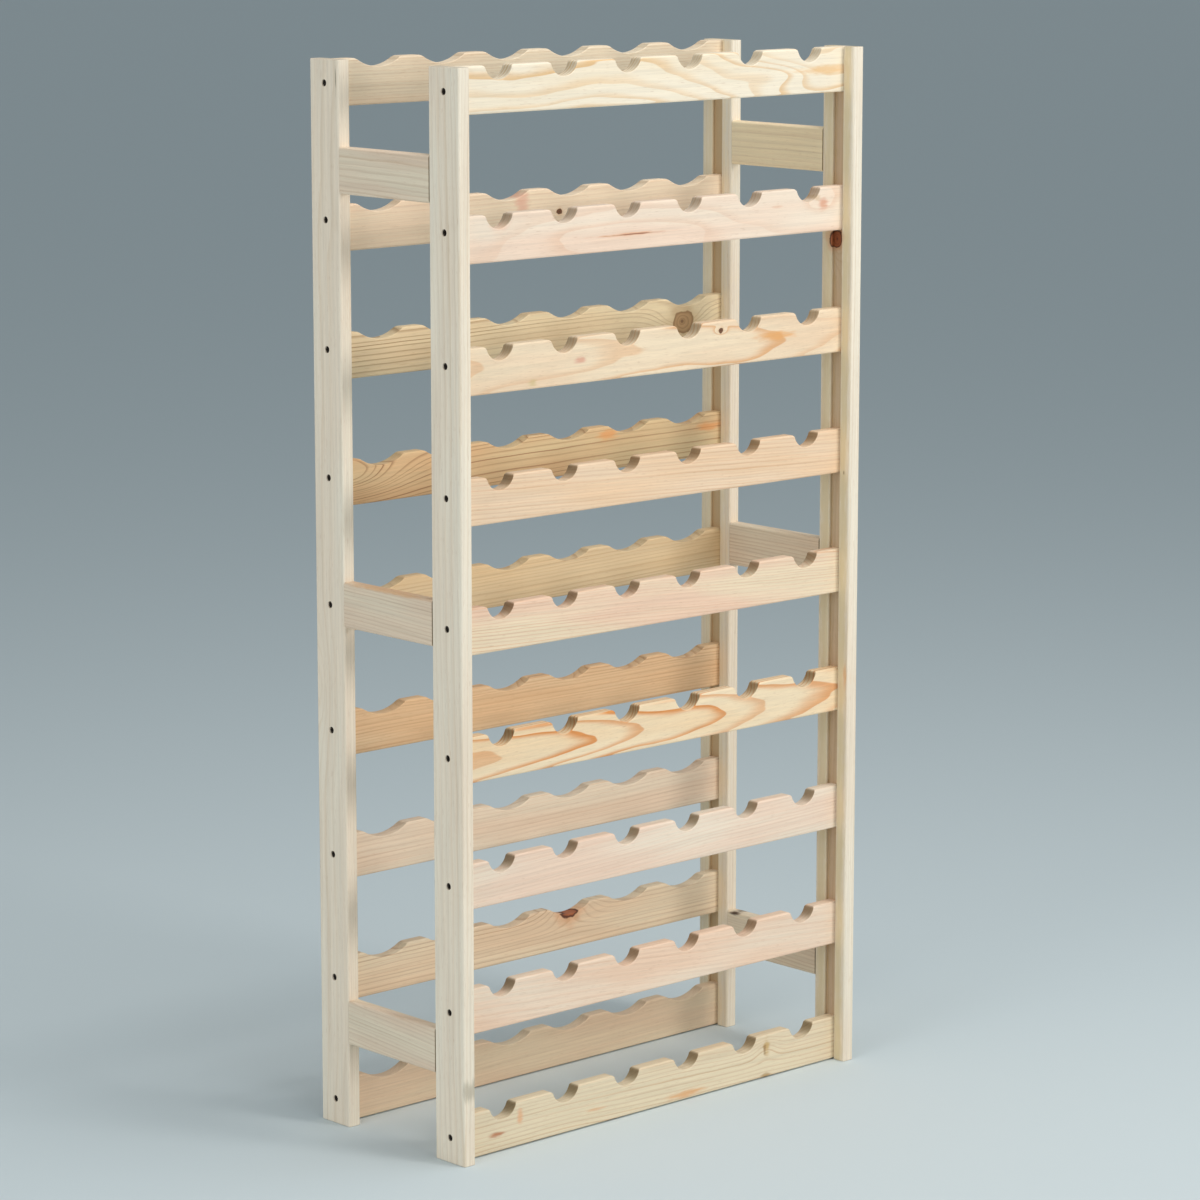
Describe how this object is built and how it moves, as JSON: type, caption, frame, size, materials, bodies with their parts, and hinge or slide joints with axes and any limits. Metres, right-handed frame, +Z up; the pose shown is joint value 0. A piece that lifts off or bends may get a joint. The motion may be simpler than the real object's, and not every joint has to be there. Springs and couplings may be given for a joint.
{
  "type": "wine rack",
  "caption": "Tall free-standing pine wine rack: grooved posts, notched front rails for bottle necks, scooped rear rails for bottle bodies, and side rails.",
  "frame": {"origin": "on the floor at the middle of the footprint, under the middle of the rack", "axes": "+Z up along the posts, +X to the right across the rack, +Y from the front, where the necks point, to the rear"},
  "size_m": [0.612, 0.248, 1.2],
  "materials": {
    "post_pine": "bare planed pine, straight grain along the post",
    "front_rail_pine": "bare planed pine, figured grain along the rail",
    "rear_rail_pine": "bare planed pine, figured grain along the rail",
    "side_rail_pine": "bare planed pine, straight grain along the rail",
    "screw_steel": "black phosphated steel, satin",
    "dowel_beech": "bare beech"
  },
  "bodies": {
    "root": {"front_left_post": "post_pine", "front_right_post": "post_pine", "rear_left_post": "post_pine", "rear_right_post": "post_pine", "front_rail_1": "front_rail_pine", "front_rail_2": "front_rail_pine", "front_rail_3": "front_rail_pine", "front_rail_4": "front_rail_pine", "front_rail_5": "front_rail_pine", "front_rail_6": "front_rail_pine", "front_rail_7": "front_rail_pine", "front_rail_8": "front_rail_pine", "front_rail_9": "front_rail_pine", "rear_rail_1": "rear_rail_pine", "rear_rail_2": "rear_rail_pine", "rear_rail_3": "rear_rail_pine", "rear_rail_4": "rear_rail_pine", "rear_rail_5": "rear_rail_pine", "rear_rail_6": "rear_rail_pine", "rear_rail_7": "rear_rail_pine", "rear_rail_8": "rear_rail_pine", "rear_rail_9": "rear_rail_pine", "left_lower_side_rail": "side_rail_pine", "left_middle_side_rail": "side_rail_pine", "left_upper_side_rail": "side_rail_pine", "right_lower_side_rail": "side_rail_pine", "right_middle_side_rail": "side_rail_pine", "right_upper_side_rail": "side_rail_pine", "front_left_screws": "screw_steel", "front_right_screws": "screw_steel", "rear_left_screws": "screw_steel", "rear_right_screws": "screw_steel", "left_lower_dowels": "dowel_beech", "left_middle_dowels": "dowel_beech", "left_upper_dowels": "dowel_beech", "right_lower_dowels": "dowel_beech", "right_middle_dowels": "dowel_beech", "right_upper_dowels": "dowel_beech"}
  },
  "joints": []
}
